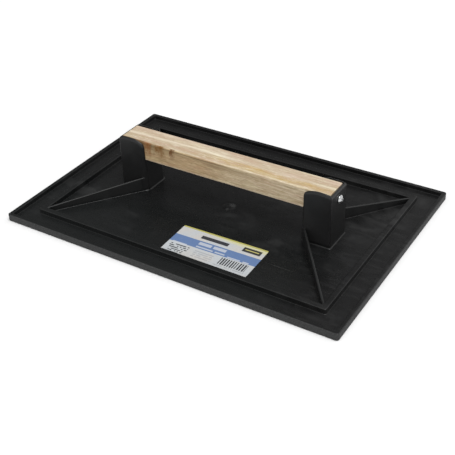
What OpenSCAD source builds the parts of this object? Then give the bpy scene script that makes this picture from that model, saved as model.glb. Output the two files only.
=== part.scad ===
// Rectangular hand float: one moulded plastic body (working plate, rim,
// frame, diagonal ribs and two open-topped handle posts), a rectangular
// wooden bar dropped into the posts, one wood screw through the end wall
// of each post into the end grain of the bar, and a flat label on the plate.
//
// Frame: millimetres, +X along the long side and the handle, +Y to the
// back, +Z up. The origin is the centre of the flat working face, z = 0.
// In names, _t is a thickness, _r a radius and _d a diameter.

/* [Plate] */
// Length of the plate, along the handle
plate_len = 400; // [385:1:420]
// Width of the plate, across the handle
plate_wid = 276; // [264:1:290]
// Thickness of the flat web of the plate
plate_t = 3.2; // [2.6:0.1:4]
// Radius of the four plate corners, seen from above
plate_r = 3; // [1.5:0.5:5]
// Radius of the low domed boss over the moulding gate
gate_r = 7.5; // [5:0.5:10]
// Height of that boss above the plate
gate_h = 0.9; // [0.5:0.1:1.4]

/* [Rim and frame] */
// Width of the raised rim round the edge of the plate
rim_w = 4.9; // [3.5:0.1:6]
// Height of the rim above the working face
rim_top = 7.9; // [6.5:0.1:9]
// Distance from the plate's edge to the outside of the raised frame
frame_inset = 24.5; // [21:0.5:27]
// Width of the raised frame
frame_w = 7; // [5:0.1:8]
// Height of the frame above the working face
frame_top = 8.9; // [7:0.1:10.5]

/* [Stiffeners] */
// Thickness of the four diagonal ribs
rib_t = 2.8; // [2:0.1:3.6]
// Height of a diagonal rib where it meets its post
rib_top = 20; // [14:0.5:28]

/* [Posts] */
// Distance from the middle of the float to the inner face of a post
post_in = 99.2; // [94:0.1:101]
// Distance from the middle of the float to the outer face of a post
post_out = 132.2; // [131:0.1:134]
// Height of the highest point of a post above the working face
post_top = 66; // [65.8:0.1:68]
// Wall beside the bar, front and back
cheek_t = 2.5; // [2:0.1:3.5]
// Wall behind the end of the bar, which the screw goes through
end_wall_t = 2.1; // [1.8:0.1:3]
// Wall under the bar on the inner side of a post
inner_wall_t = 3; // [2.4:0.1:4]
// Lean of the inner wall: how far its foot stands in towards the middle
inner_lean = 1.6; // [0.4:0.1:2.4]
// Radius of the upper inner corner of each cheek, seen from the front
cheek_r = 6; // [4:0.5:8]
// Radius of the swept top of each cheek, between that corner and its middle
sweep_r = 30; // [26:1:40]
// Outward rounding of the upper edges of a post
top_round = 3; // [1.5:0.5:3.5]
// Play between the bar and each cheek
bar_play = 0.2; // [0.1:0.05:0.4]

/* [Handle bar] */
// Width of the wooden bar
bar_w = 29.2; // [28:0.1:31]
// Height of the wooden bar's section
bar_h = 22.9; // [21.5:0.1:23.2]
// Height of the underside of the bar above the working face
bar_z = 41.9; // [40:0.1:42.2]
// Radius of the bar's four long edges
bar_r = 1; // [0.6:0.1:3]
// Gap left between the bar and the right end wall
bar_gap = 1.5; // [0.5:0.1:2]

/* [Screws] */
// Length of a screw under its head
screw_len = 35; // [25:1:40]
// Diameter over the thread
thread_d = 4.5; // [3.8:0.1:4.8]
// Diameter at the bottom of the thread
root_d = 3.1; // [2.6:0.1:3.3]
// Distance from one turn of the thread to the next
pitch = 2; // [1.6:0.1:2.3]
// Diameter of the pan head
head_d = 9.8; // [8.4:0.1:10.2]
// Height of the pan head
head_h = 3; // [2.4:0.1:3.4]
// Distance of the screws behind the middle of the bar
screw_off = 1; // [0:0.1:2]
// Play round the thread in its bore, on the radius
bore_play = 0.06; // [0.03:0.01:0.1]

/* [Label] */
// Length of the label
label_len = 102; // [90:1:106]
// Width of the label
label_wid = 51; // [40:1:53]
// Thickness of the label
label_t = 0.15; // [0.1:0.05:0.3]
// Turn of the label, anticlockwise from above, in degrees
label_turn = 1.4; // [-2:0.1:2]

/* [Hidden] */
$fn = 64;

plastic_black = [0.11, 0.11, 0.12];
wood_tan = [0.86, 0.77, 0.60];
screw_grey = [0.78, 0.79, 0.80];
label_cream = [0.88, 0.87, 0.80];

frame_x = plate_len / 2 - frame_inset;      // half length of the frame, outside
frame_y = plate_wid / 2 - frame_inset;      // half width of the frame, outside
frame_r = 2;                                // outer corners of the frame
pocket_y = bar_w / 2 + bar_play;            // half width of the pocket
pocket_x = post_out - end_wall_t;           // inner face of an end wall
post_y = pocket_y + cheek_t;                // half width of a post
bar_mid_z = bar_z + bar_h / 2;              // screw axis height
bar_left = -pocket_x + 0.1;                 // left end, just off its wall
bar_right = pocket_x - bar_gap;
bore_r = thread_d / 2 + bore_play;
label_centre = [30, -78.6];
label_r = 1.2;
cut = 1;                                    // overrun of cuts and overlaps

// ---- Helpers ----

// The children, and their mirror image at the left end.
module both_ends() {
    children();
    mirror([1, 0, 0]) children();
}

// The children, and their mirror image at the front.
module both_sides() {
    children();
    mirror([0, 1, 0]) children();
}

// Moves z = 0 to x on the screw axis; +z then points to the right,
// or to the left with a tilt of -90.
module on_screw_axis(x, tilt = 90) {
    translate([x, screw_off, bar_mid_z]) rotate([0, tilt, 0]) children();
}

// A centred rectangle with rounded corners.
module round_rect(length, width, radius) {
    square([length - 2 * radius, width], center = true);
    square([length, width - 2 * radius], center = true);
    for (sx = [-1, 1], sy = [-1, 1])
        translate([sx * (length / 2 - radius), sy * (width / 2 - radius)])
            circle(radius);
}

// A rectangular ring of constant height standing on the working face.
module ring(length, width, radius, wall, height) {
    least_r = 0.8;                          // of the inner corners
    difference() {
        linear_extrude(height) round_rect(length, width, radius);
        translate([0, 0, -cut])
            linear_extrude(height + 2 * cut)
                round_rect(length - 2 * wall, width - 2 * wall,
                           max(radius - wall, least_r));
    }
}

// ---- Posts; each module draws the right-hand one ----

// Side outline in x and z: an inner wall that leans in towards its foot,
// a rounded inner corner running into a swept arc, then a top that falls
// slightly to the outer end.
module post_side() {
    crown_x = post_in + 17.8;               // highest point of the top
    fall_r = 95;                            // arc over the whole top
    outer_z = post_top - top_round - 1;     // centre of the outer rounding
    overlap = 4;                            // of the outer end with the middle
    foot_w = 5;                             // width of the leaning part, at its top
    reach = 40;                             // covers the post either side of the crown
    corner_x = post_in + cheek_r;
    // the inner corner touches the swept arc from inside
    centre_gap = sweep_r - cheek_r;
    corner_z = post_top - sweep_r
        + sqrt(centre_gap * centre_gap - pow(crown_x - corner_x, 2));
    intersection() {
        union() {
            translate([post_in, 0])
                square([post_out - post_in, corner_z]);
            polygon([[post_in - inner_lean, 0], [post_in + foot_w, 0],
                     [post_in + foot_w, bar_z], [post_in, bar_z],
                     [post_in - inner_lean, plate_t]]);
            translate([corner_x, 0])
                square([post_out - corner_x - top_round, post_top]);
            translate([corner_x, corner_z]) circle(cheek_r);
            translate([post_out - top_round - overlap, 0])
                square([top_round + overlap, outer_z]);
            translate([post_out - top_round, outer_z]) circle(top_round);
        }
        // swept arc over the inner part
        union() {
            translate([crown_x, post_top - sweep_r]) circle(sweep_r, $fn = 128);
            translate([crown_x, 0]) square([reach, post_top]);
            translate([crown_x - reach, 0]) square([2 * reach, corner_z]);
        }
        // slow fall over the whole top
        translate([crown_x, post_top - fall_r]) circle(fall_r, $fn = 180);
    }
}

// End outline in y and z: straight sides, upper edges rounded outward.
module post_end() {
    round_y = post_y - top_round;
    round_z = post_top - top_round;
    translate([-post_y, 0]) square([2 * post_y, round_z]);
    translate([-round_y, 0]) square([2 * round_y, post_top + cut]);
    for (side = [-1, 1])
        translate([side * round_y, round_z]) circle(top_round);
}

// Outline from above: wide radii inside, small ones outside.
module post_plan() {
    inner_r = 4 + inner_lean;
    outer_r = 1.2;
    foot_x = post_in - inner_lean;
    translate([foot_x + inner_r, -post_y])
        square([post_out - foot_x - inner_r - outer_r, 2 * post_y]);
    translate([foot_x, -post_y + inner_r])
        square([2 * inner_r, 2 * (post_y - inner_r)]);
    translate([post_out - 2 * outer_r, -post_y + outer_r])
        square([2 * outer_r, 2 * (post_y - outer_r)]);
    for (side = [-1, 1]) {
        translate([foot_x + inner_r, side * (post_y - inner_r)]) circle(inner_r);
        translate([post_out - outer_r, side * (post_y - outer_r)]) circle(outer_r);
    }
}

// The post before its pocket is cut: where its three outlines meet.
module post_solid() {
    lean_room = 4;                          // clears the leaning foot
    intersection() {
        linear_extrude(post_top + cut) post_plan();
        translate([0, post_y + cut, 0]) rotate([90, 0, 0])
            linear_extrude(2 * (post_y + cut)) post_side();
        translate([post_in - lean_room, 0, 0]) rotate([90, 0, 90])
            linear_extrude(post_out - post_in + lean_room + cut) post_end();
    }
}

// Everything cut out of the post.
module post_cuts() {
    seat_overrun = 5;
    prop_len = 8;
    prop_t = 2.5;
    prop_y = 8;
    // seat of the bar, open to the top and to the inner side
    translate([post_in - seat_overrun, -pocket_y, bar_z])
        cube([pocket_x - post_in + seat_overrun, 2 * pocket_y, post_top]);
    // hollow under the bar
    difference() {
        translate([post_in + inner_wall_t, -pocket_y, plate_t])
            cube([pocket_x - post_in - inner_wall_t, 2 * pocket_y,
                  bar_z - plate_t + cut]);
        // two props that carry the bar beside the end wall
        for (side = [-1, 1])
            translate([pocket_x - prop_len, side * prop_y - prop_t / 2, 0])
                cube([prop_len + cut, prop_t, bar_z]);
    }
    // screw hole through the end wall
    on_screw_axis(pocket_x - cut)
        cylinder(r = bore_r, h = end_wall_t + 2 * cut);
}

// ---- Other parts of the body ----

// The diagonal rib at the back right: from the inner back corner of the
// post down to the middle of the frame's width at its corner.
module rib() {
    start = [post_in + 1.6, post_y - 2.2];
    span = [frame_x - frame_w / 2, frame_y - frame_w / 2] - start;
    run = norm(span);
    level = 1.5;                            // level part of the top, at the post
    foot_z = plate_t - cut;
    translate([start[0], start[1], 0]) rotate([0, 0, atan2(span[1], span[0])])
        translate([0, rib_t / 2, 0]) rotate([90, 0, 0])
            linear_extrude(rib_t)
                polygon([[0, foot_z], [run, foot_z], [run, frame_top - 1],
                         [level, rib_top], [0, rib_top]]);
}

// Low domed boss in the middle of the plate, a cap of a large sphere.
module gate_boss() {
    dome_r = (gate_r * gate_r + gate_h * gate_h) / (2 * gate_h);
    intersection() {
        translate([0, 0, plate_t + gate_h - dome_r]) sphere(r = dome_r, $fn = 128);
        translate([0, 0, plate_t - cut]) cylinder(r = gate_r + 1, h = 3);
    }
}

// ---- Screws ----

// A pan-head wood screw pointing along -z, head above z = 0. The thread
// is a row of separate ridges, turned in one profile with the shank.
module wood_screw() {
    dome_r = 7.2;
    slot_len = 4.6;
    slot_w = 0.9;
    slot_depth = 1.5;
    cone_depth = 1.9;
    recess_h = 3;                           // height of the cutting shapes
    root_r = root_d / 2;
    crest_r = thread_d / 2;
    plain_r = crest_r - 0.1;                // plain part under the head
    embed = 0.5;                            // shank's reach into the head
    taper = 0.6;                            // from the plain part to the root
    tip_len = 6;
    tip_r = 0.15;
    ridges = floor((screw_len - 8) / pitch) - 1;
    plain_len = screw_len - 5 - (ridges + 1) * pitch;
    // one ridge: radius, and place along the screw in pitches
    ridge = [[root_r, 0.35], [crest_r, 0.62], [crest_r, 0.68], [root_r, 0.95]];
    difference() {
        union() {
            // head: short cylinder under a shallow dome
            intersection() {
                cylinder(d = head_d, h = head_h);
                translate([0, 0, head_h - dome_r]) sphere(r = dome_r, $fn = 96);
            }
            rotate_extrude()
                polygon(concat(
                    [[0, embed], [plain_r, embed],
                     [plain_r, taper - plain_len], [root_r, -plain_len]],
                    [for (i = [0 : ridges - 1], point = ridge)
                        [point[0], -plain_len - (i + point[1]) * pitch]],
                    [[root_r, tip_len - screw_len], [tip_r, -screw_len],
                     [0, -screw_len]]));
        }
        // cross recess
        for (turn = [0, 90])
            rotate([0, 0, turn])
                translate([-slot_len / 2, -slot_w / 2, head_h - slot_depth])
                    cube([slot_len, slot_w, recess_h]);
        translate([0, 0, head_h - cone_depth])
            cylinder(r1 = 0.5, r2 = 1.5, h = recess_h);
    }
}

// The right-hand screw in place, turned about its own axis.
module placed_screw(turn = 0) {
    on_screw_axis(post_out) rotate([0, 0, turn]) wood_screw();
}

// Bore for one screw, running along +z from the bar's end at z = 0.
module bar_bore() {
    bore_len = screw_len + 1;
    overlap = 0.01;                         // of the cone with the bore
    translate([0, 0, -cut]) cylinder(r = bore_r, h = bore_len + cut);
    translate([0, 0, bore_len - overlap])
        cylinder(r1 = bore_r, r2 = 0.4, h = 1.8);
}

// ---- Nodes ----

module float_body() {
    color(plastic_black)
    difference() {
        union() {
            linear_extrude(plate_t) round_rect(plate_len, plate_wid, plate_r);
            ring(plate_len, plate_wid, plate_r, rim_w, rim_top);
            ring(2 * frame_x, 2 * frame_y, frame_r, frame_w, frame_top);
            both_ends() post_solid();
            both_ends() both_sides() rib();
            gate_boss();
        }
        both_ends() post_cuts();
    }
}

module handle_grip() {
    color(wood_tan)
    difference() {
        translate([bar_left, 0, bar_mid_z]) rotate([90, 0, 90])
            linear_extrude(bar_right - bar_left) round_rect(bar_w, bar_h, bar_r);
        on_screw_axis(bar_right, tilt = -90) bar_bore();
        on_screw_axis(bar_left) bar_bore();
    }
}

module handle_screw_left() {
    color(screw_grey) mirror([1, 0, 0]) placed_screw(turn = 25);
}

module handle_screw_right() {
    color(screw_grey) placed_screw();
}

module label() {
    color(label_cream)
    translate([label_centre[0], label_centre[1], plate_t])
        rotate([0, 0, label_turn])
            linear_extrude(label_t) round_rect(label_len, label_wid, label_r);
}

float_body();
handle_grip();
handle_screw_left();
handle_screw_right();
label();
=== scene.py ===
# Rectangular hand float: a moulded black plastic body, a pale wooden bar,
# two zinc-plated wood screws and a printed paper label.
# It lies on z = 0 with its length along X and its width along Y. The bar
# runs along X between two posts; the front is -Y and the right is +X.
import bpy
import bmesh
import math
from functools import reduce
from mathutils import Matrix, Vector

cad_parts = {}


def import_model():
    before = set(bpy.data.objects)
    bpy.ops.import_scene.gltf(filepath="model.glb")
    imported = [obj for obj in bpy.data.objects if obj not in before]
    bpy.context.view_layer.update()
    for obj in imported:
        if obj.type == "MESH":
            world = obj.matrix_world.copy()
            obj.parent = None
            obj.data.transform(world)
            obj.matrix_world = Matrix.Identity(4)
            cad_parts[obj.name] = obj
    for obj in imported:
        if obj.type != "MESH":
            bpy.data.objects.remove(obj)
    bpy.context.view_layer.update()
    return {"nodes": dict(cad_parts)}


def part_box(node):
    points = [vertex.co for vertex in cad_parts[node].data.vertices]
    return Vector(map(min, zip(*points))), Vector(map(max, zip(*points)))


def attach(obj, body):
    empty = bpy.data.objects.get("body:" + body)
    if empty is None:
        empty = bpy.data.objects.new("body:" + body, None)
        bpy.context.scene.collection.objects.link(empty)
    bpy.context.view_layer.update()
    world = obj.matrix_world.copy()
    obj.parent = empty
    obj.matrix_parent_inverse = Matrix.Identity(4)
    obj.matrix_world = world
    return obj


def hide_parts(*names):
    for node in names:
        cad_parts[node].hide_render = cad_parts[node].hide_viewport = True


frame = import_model()
MM = 0.001


# ------------------------------------------------------------ sizes (mm)
def span(node):
    """Low and high corners of a CAD piece's box, in millimetres."""
    low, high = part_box(node)
    return [c / MM for c in low], [c / MM for c in high]


BODY_LOW, BODY_HIGH = span("float_body")
GRIP_LOW, GRIP_HIGH = span("handle_grip")
SCREW_LOW, SCREW_HIGH = span("handle_screw_right")
LABEL_LOW, LABEL_HIGH = span("label")

HALF_LENGTH = (BODY_HIGH[0] - BODY_LOW[0]) / 2
HALF_WIDTH = (BODY_HIGH[1] - BODY_LOW[1]) / 2
WEB_TOP = LABEL_LOW[2]                      # top of the flat web
RIM_TOP = 7.9
FRAME_TOP = 8.9                             # raised frame inside the rim
FRAME_INSET = 24.5                          # from the body's edge to the frame
FRAME_X = HALF_LENGTH - FRAME_INSET
FRAME_Y = HALF_WIDTH - FRAME_INSET

BAR_BOTTOM, BAR_TOP = GRIP_LOW[2], GRIP_HIGH[2]
BAR_Y = GRIP_HIGH[1]                        # half width of the bar

AXIS_Y = (SCREW_LOW[1] + SCREW_HIGH[1]) / 2
AXIS_Z = (SCREW_LOW[2] + SCREW_HIGH[2]) / 2
SCREW_LENGTH = 35.0
SCREW_HOLE_R = 2.31
HEAD_HEIGHT = 3.0
HEAD_R = (SCREW_HIGH[1] - SCREW_LOW[1]) / 2
HEAD_DOME_R = 6.6                           # sphere the head's top is cut from

POST_TOP = BODY_HIGH[2]
POST_OUT = SCREW_HIGH[0] - HEAD_HEIGHT      # outer face of a post
POST_IN = POST_OUT - 33.0                   # inner face
POST_LEAN = 1.6                             # how far the inner wall leans in at its foot
POCKET_Y = BAR_Y + 0.2                      # the bar's pocket, with some play
POCKET_X = POST_OUT - 2.1                   # end wall of the pocket
POST_Y = POCKET_Y + 2.5                     # half width over the cheeks
FOOT_SINK = 0.9                             # feet start this far inside the web
FLARE_SINK = 0.03                           # and their flares this far inside


# ------------------------------------------------------- mesh helpers
def new_object(name, verts, faces):
    """Flat-shaded object from vertices in millimetres."""
    mesh = bpy.data.meshes.new(name)
    mesh.from_pydata([tuple(c * MM for c in v) for v in verts], [], faces)
    mesh.validate()
    mesh.update()
    obj = bpy.data.objects.new(name, mesh)
    bpy.context.scene.collection.objects.link(obj)
    return obj


def solid(name, verts, faces):
    """Smooth closed object with its normals turned outwards."""
    obj = new_object(name, verts, faces)
    for face in obj.data.polygons:
        face.use_smooth = True
    bm = bmesh.new()
    bm.from_mesh(obj.data)
    bmesh.ops.recalc_face_normals(bm, faces=bm.faces)
    bm.to_mesh(obj.data)
    bm.free()
    return obj


def quarter_turn(steps):
    """Angles from 0 to 90 degrees, both included, in radians."""
    return [math.pi / 2 * i / steps for i in range(steps + 1)]


def rounded_outline(half_u, half_v, radius):
    """Rounded rectangle, anticlockwise from the (+u, -v) corner, as
    (u, v, side_u, side_v) with the signs of the corner it belongs to."""
    steps = 6
    points = []
    for side_u, side_v, start in ((1, -1, -90), (1, 1, 0), (-1, 1, 90), (-1, -1, 180)):
        for i in range(steps + 1):
            angle = math.radians(start + 90 * i / steps)
            points.append((side_u * (half_u - radius) + radius * math.cos(angle),
                           side_v * (half_v - radius) + radius * math.sin(angle),
                           side_u, side_v))
    return points


def tube_faces(rings, size):
    """Quads between successive closed rings of equal size."""
    faces = []
    for k in range(rings - 1):
        for i in range(size):
            j = (i + 1) % size
            faces.append((k * size + i, k * size + j, (k + 1) * size + j, (k + 1) * size + i))
    return faces


def loft(name, loops):
    """Solid through a list of closed loops, capped at both ends."""
    verts = [p for loop in loops for p in loop]
    size = len(loops[0])
    faces = tube_faces(len(loops), size)
    faces.append(tuple(range(size))[::-1])
    faces.append(tuple(range((len(loops) - 1) * size, len(loops) * size)))
    return solid(name, verts, faces)


def box_object(name, x0, x1, y0, y1, z0, z1):
    verts = [(x, y, z) for x in (x0, x1) for y in (y0, y1) for z in (z0, z1)]
    faces = [(0, 1, 3, 2), (4, 6, 7, 5), (0, 4, 5, 1), (2, 3, 7, 6), (0, 2, 6, 4), (1, 5, 7, 3)]
    return solid(name, verts, faces)


def lathe(name, profile, segments):
    """Closed solid from (radius, height) points turned about Z; the first
    and last points lie on the axis."""
    verts, faces = [(0, 0, profile[0][1])], []
    rings = profile[1:-1]
    for radius, z in rings:
        for i in range(segments):
            angle = 2 * math.pi * i / segments
            verts.append((radius * math.cos(angle), radius * math.sin(angle), z))
    verts.append((0, 0, profile[-1][1]))
    end = len(verts) - 1
    last_ring = 1 + (len(rings) - 1) * segments
    for i in range(segments):
        j = (i + 1) % segments
        faces.append((0, 1 + j, 1 + i))
        for k in range(len(rings) - 1):
            low, high = 1 + k * segments, 1 + (k + 1) * segments
            faces.append((low + i, low + j, high + j, high + i))
        faces.append((last_ring + i, last_ring + j, end))
    return solid(name, verts, faces)


def boolean(target, tools, operation):
    """Apply each tool to the target in turn; the tools are removed."""
    for tool in tools:
        modifier = target.modifiers.new("b", "BOOLEAN")
        modifier.object = tool
        modifier.operation = operation
        modifier.solver = "MANIFOLD"
        graph = bpy.context.evaluated_depsgraph_get()
        graph.update()
        mesh = bpy.data.meshes.new_from_object(target.evaluated_get(graph))
        old = target.data
        target.modifiers.clear()
        target.data = mesh
        bpy.data.meshes.remove(old)
        bpy.data.objects.remove(tool)


def mirrored(obj, axis):
    """Mirrored copy across the plane where the axis is zero."""
    mesh = obj.data.copy()
    scale = [1, 1, 1]
    scale[axis] = -1
    mesh.transform(Matrix.Diagonal((*scale, 1)))
    mesh.flip_normals()
    copy = bpy.data.objects.new(obj.name + "_m", mesh)
    bpy.context.scene.collection.objects.link(copy)
    return copy


def place_on_screw_axis(obj, x, side):
    """Turn the object's +Z to point along side * X and move it to x."""
    place = Matrix.Translation(Vector((x, AXIS_Y, AXIS_Z)) * MM)
    obj.data.transform(place @ Matrix.Rotation(side * math.pi / 2, 4, "Y"))


def finish_shading(obj, angle):
    """Smooth faces with hard edges above the angle, and normals weighted
    by face area, so that flat walls stay flat beside their fillets."""
    for face in obj.data.polygons:
        face.use_smooth = True
    obj.data.set_sharp_from_angle(angle=math.radians(angle))
    modifier = obj.modifiers.new("weighted", "WEIGHTED_NORMAL")
    modifier.keep_sharp = True
    modifier.weight = 100
    modifier.thresh = 0.01


# ------------------------------------------------------- float body
# Quarter arcs of the tray's section, from the outer bottom edge inwards.
# Columns: inset and height at the start, the same at the end, whether the
# arc sets off upright, and the plan's corner radius at start and end.
TRAY_ARCS = [
    (0.55, 0.0, 0.0, 0.55, False, 2.45, 3.0),                           # bottom edge
    (0.06, RIM_TOP - 0.9, 0.9, RIM_TOP, True, 2.94, 2.1),               # rim, outside
    (4.0, RIM_TOP, 4.6, RIM_TOP - 0.6, False, 1.9, 1.7),                # rim, inside
    (4.9, WEB_TOP + 0.45, 5.35, WEB_TOP, True, 1.6, 1.2),               # into the channel
    (24.05, WEB_TOP, FRAME_INSET, WEB_TOP + 0.45, False, 2.4, 2.0),     # out of it
    (24.85, FRAME_TOP - 0.8, 25.65, FRAME_TOP, True, 1.8, 1.4),         # frame, outside
    (30.35, FRAME_TOP, 31.15, FRAME_TOP - 0.8, False, 1.3, 1.3),        # frame, inside
    (31.5, WEB_TOP + 0.45, 31.95, WEB_TOP, True, 1.3, 0.9),             # onto the web
]


def tray():
    """Flat plate with a rounded rim, a channel and a raised frame."""
    loops = []
    for inset0, z0, inset1, z1, upright, radius0, radius1 in TRAY_ARCS:
        angles = quarter_turn(4)
        for i, angle in enumerate(angles):
            fast, slow = math.sin(angle), 1 - math.cos(angle)
            across, rise = (slow, fast) if upright else (fast, slow)
            inset = inset0 + (inset1 - inset0) * across
            z = z0 + (z1 - z0) * rise
            radius = radius0 + (radius1 - radius0) * (i / (len(angles) - 1))
            outline = rounded_outline(HALF_LENGTH - inset, HALF_WIDTH - inset, radius)
            loops.append([(x, y, z) for x, y, _, _ in outline])
    return loft("tray", loops)


def post_top(x):
    """Height of the top of a post at x: a rounded inner corner running
    into a swept arc, then a slow fall to the outer end."""
    corner, sweep, fall = 6.0, 30.0, 95         # radii of the three arcs
    crown = POST_IN + 17.8                      # highest point
    reach = sweep - corner
    corner_z = POST_TOP - sweep + math.sqrt(reach ** 2 - (crown - POST_IN - corner) ** 2)
    x = max(x, POST_IN + 0.02)
    top = POST_TOP - (fall - math.sqrt(fall ** 2 - (x - crown) ** 2))
    if x < crown:
        top = min(top, POST_TOP - sweep + math.sqrt(sweep ** 2 - (x - crown) ** 2))
    if x < POST_IN + corner:
        dx = POST_IN + corner - x
        top = min(top, corner_z + math.sqrt(max(0.0, corner ** 2 - dx ** 2)))
    return top


def post_half_plan(grow, lean):
    """Half of a post's outline, from the inner face to the outer face
    along y > 0, as (x, y)."""
    x_in, x_out, y_side = POST_IN - grow - lean, POST_OUT + grow, POST_Y + grow
    r_in, r_out = 3.6 + grow + lean, max(0.08, 1.0 + grow)
    angles = quarter_turn(8)
    points = [(x_in, 0.0), (x_in, (y_side - r_in) * 0.5)]
    points += [(x_in + r_in - r_in * math.cos(a), y_side - r_in + r_in * math.sin(a))
               for a in angles]
    x_side, side_steps = x_in + r_in, 10
    points += [(x_side + (x_out - r_out - x_side) * i / side_steps, y_side)
               for i in range(1, side_steps)]
    points += [(x_out - r_out + r_out * math.sin(a), y_side - r_out + r_out * math.cos(a))
               for a in angles]
    return points + [(x_out, (y_side - r_out) * 0.5), (x_out, 0.0)]


def post_ring(grow, height):
    """Closed ring round a post; height gives z for an x."""
    lean_top = BAR_BOTTOM + 2
    share = (lean_top - height(POST_IN)) / (lean_top - WEB_TOP)
    half = post_half_plan(grow, POST_LEAN * min(1.0, max(0.0, share)))
    full = half + [(x, -y) for x, y in half[-2:0:-1]]
    return [(x, y, height(x)) for x, y in full]


def post():
    """A right-hand post: drafted rounded box with a flared foot, closed
    over its curved top, before the pocket is cut."""
    flare = 1.4
    foot_grow, draft = 0.25, 0.45               # wall outset at the foot, loss by the top
    roll_height, roll_inset = 3.3, 2.1          # rolled upper edge
    levels = 14
    loops = [post_ring(flare, lambda x: WEB_TOP - FOOT_SINK)]
    for angle in quarter_turn(6):
        z = WEB_TOP - FLARE_SINK + flare * (1 - math.cos(angle))
        loops.append(post_ring(flare * (1 - math.sin(angle)) + foot_grow, lambda x: z))
    foot = WEB_TOP + flare
    for k in range(1, levels + 1):
        t = k / levels
        loops.append(post_ring(foot_grow - draft * t,
                               lambda x: foot + (post_top(x) - roll_height - foot) * t))
    for angle in quarter_turn(8)[1:]:
        rise = roll_height * math.sin(angle)
        loops.append(post_ring(foot_grow - draft - roll_inset * (1 - math.cos(angle)),
                               lambda x: post_top(x) - roll_height + rise))
    size = len(loops[0])
    faces = tube_faces(len(loops), size)
    faces.append(tuple(range(size)))
    base = (len(loops) - 1) * size              # curved lid, in strips across y
    half = size // 2
    for i in range(half):
        a, b = base + i, base + i + 1
        c, d = base + (size - i) % size, base + (size - i - 1) % size
        if i == 0:
            faces.append((a, b, d))
        elif i == half - 1:
            faces.append((a, b, c))
        else:
            faces.append((a, b, d, c))
    return solid("post", [p for loop in loops for p in loop], faces)


def pocket_cutters():
    """Cutters for the right-hand post: the bar's seat, the hollow below
    it with two ribs left at its outer end, and the screw hole."""
    gap = 0.001                                 # keeps cutter faces from coinciding
    y_edge = POCKET_Y - gap
    rib_near, rib_far = 6.75, 9.25              # the ribs' faces in y
    cutters = [
        box_object("seat", POST_IN - 8, POCKET_X, -POCKET_Y, POCKET_Y, BAR_BOTTOM, POST_TOP + 8),
        box_object("hollow", POST_IN + 3, POCKET_X - 8, -y_edge, y_edge, WEB_TOP, BAR_BOTTOM + 1),
    ]
    for y0, y1 in ((-y_edge, -rib_far), (-rib_near, rib_near), (rib_far, y_edge)):
        cutters.append(box_object("hollow", POCKET_X - 9, POCKET_X - gap, y0, y1,
                                  WEB_TOP + gap, BAR_BOTTOM + 1.001))
    hole = lathe("hole", [(0, -3), (SCREW_HOLE_R, -3), (SCREW_HOLE_R, 6), (0, 6)], 40)
    place_on_screw_axis(hole, POCKET_X, 1)
    return cutters + [hole]


def rib():
    """Diagonal rib, quarter x > 0, y > 0: thin drafted wall with a rounded
    top and a flared foot, falling from the post to the frame."""
    start_x, start_y = POST_IN + 1.6, POST_Y - 2.2
    end_x, end_y = FRAME_X - 3.5, FRAME_Y - 3.5
    high, low = 20.0, FRAME_TOP - 0.6           # top at the post and at the frame
    level = 1.5                                 # run before the top starts to fall
    half_top, draft = 1.15, 0.02
    top_radius, flare = 0.75, 0.50
    run = math.hypot(end_x - start_x, end_y - start_y)
    ux, uy = (end_x - start_x) / run, (end_y - start_y) / run
    steps = 24
    loops = []
    for k in range(steps + 1):
        s = run * k / steps
        top = high + (low - high) * max(0.0, (s - level) / (run - level))
        half_foot = half_top + (top - WEB_TOP) * draft
        half = [(half_foot + flare, WEB_TOP - FOOT_SINK)]
        half += [(half_foot + flare * (1 - math.sin(a)),
                  WEB_TOP - FLARE_SINK + flare * (1 - math.cos(a))) for a in quarter_turn(5)]
        half += [(half_top - top_radius * (1 - math.cos(a)),
                  top - top_radius + top_radius * math.sin(a)) for a in quarter_turn(4)]
        section = half + [(-u, z) for u, z in half[::-1]]
        loops.append([(start_x + ux * s - uy * u, start_y + uy * s + ux * u, z)
                      for u, z in section])
    return loft("rib", loops)


def gate_boss():
    """Low dome over the moulding gate, with the nipped-off gate in the
    middle of a small dimple."""
    radius, height, edge = 7.5, 0.9, 1.1
    sphere = (radius * radius + height * height) / (2 * height)

    def dome(r):
        return WEB_TOP + height - sphere + math.sqrt(sphere * sphere - r * r)

    points = [(0, WEB_TOP - 1.0), (radius + edge, WEB_TOP - 1.0), (radius + edge, WEB_TOP - 0.04)]
    for i in range(1, 6):                       # hollow foot into the dome
        t = i / 5
        points.append((radius + edge - edge * 1.6 * t, WEB_TOP - 0.04 + 0.16 * t * t + 0.02 * t))
    points += [(r, dome(r)) for r in (6.4, 5.6, 4.8, 4.0, 3.2, 2.6)]
    # radius, radius whose dome height is taken, offset from that height
    for r, r_dome, offset in ((2.2, 2.2, -0.02), (1.8, 1.8, -0.16), (1.35, 1.35, -0.26),
                              (0.95, 1, -0.22), (0.8, 0, -0.02), (0.45, 0, 0.06), (0, 0, 0.07)):
        points.append((r, dome(r_dome) + offset))
    return lathe("gate", points, 64)


def float_body():
    obj = tray()
    right_post = post()
    boolean(right_post, pocket_cutters(), "DIFFERENCE")
    left_post = mirrored(right_post, 0)
    ribs = [rib()]
    ribs.append(mirrored(ribs[0], 0))
    ribs += [mirrored(ribs[0], 1), mirrored(ribs[1], 1)]
    boolean(obj, [right_post, left_post, gate_boss()] + ribs, "UNION")
    # the rib feet end inside the hollow posts: clear the hollows again
    boolean(obj, pocket_cutters(), "DIFFERENCE")
    right_cutters = pocket_cutters()
    left_cutters = [mirrored(cutter, 0) for cutter in right_cutters]
    for cutter in right_cutters:
        bpy.data.objects.remove(cutter)
    boolean(obj, left_cutters, "DIFFERENCE")
    obj.name = "float_body_moulding"
    obj.data.name = obj.name
    finish_shading(obj, 32)
    return obj


body = float_body()
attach(body, "float")
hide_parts("float_body")


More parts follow.
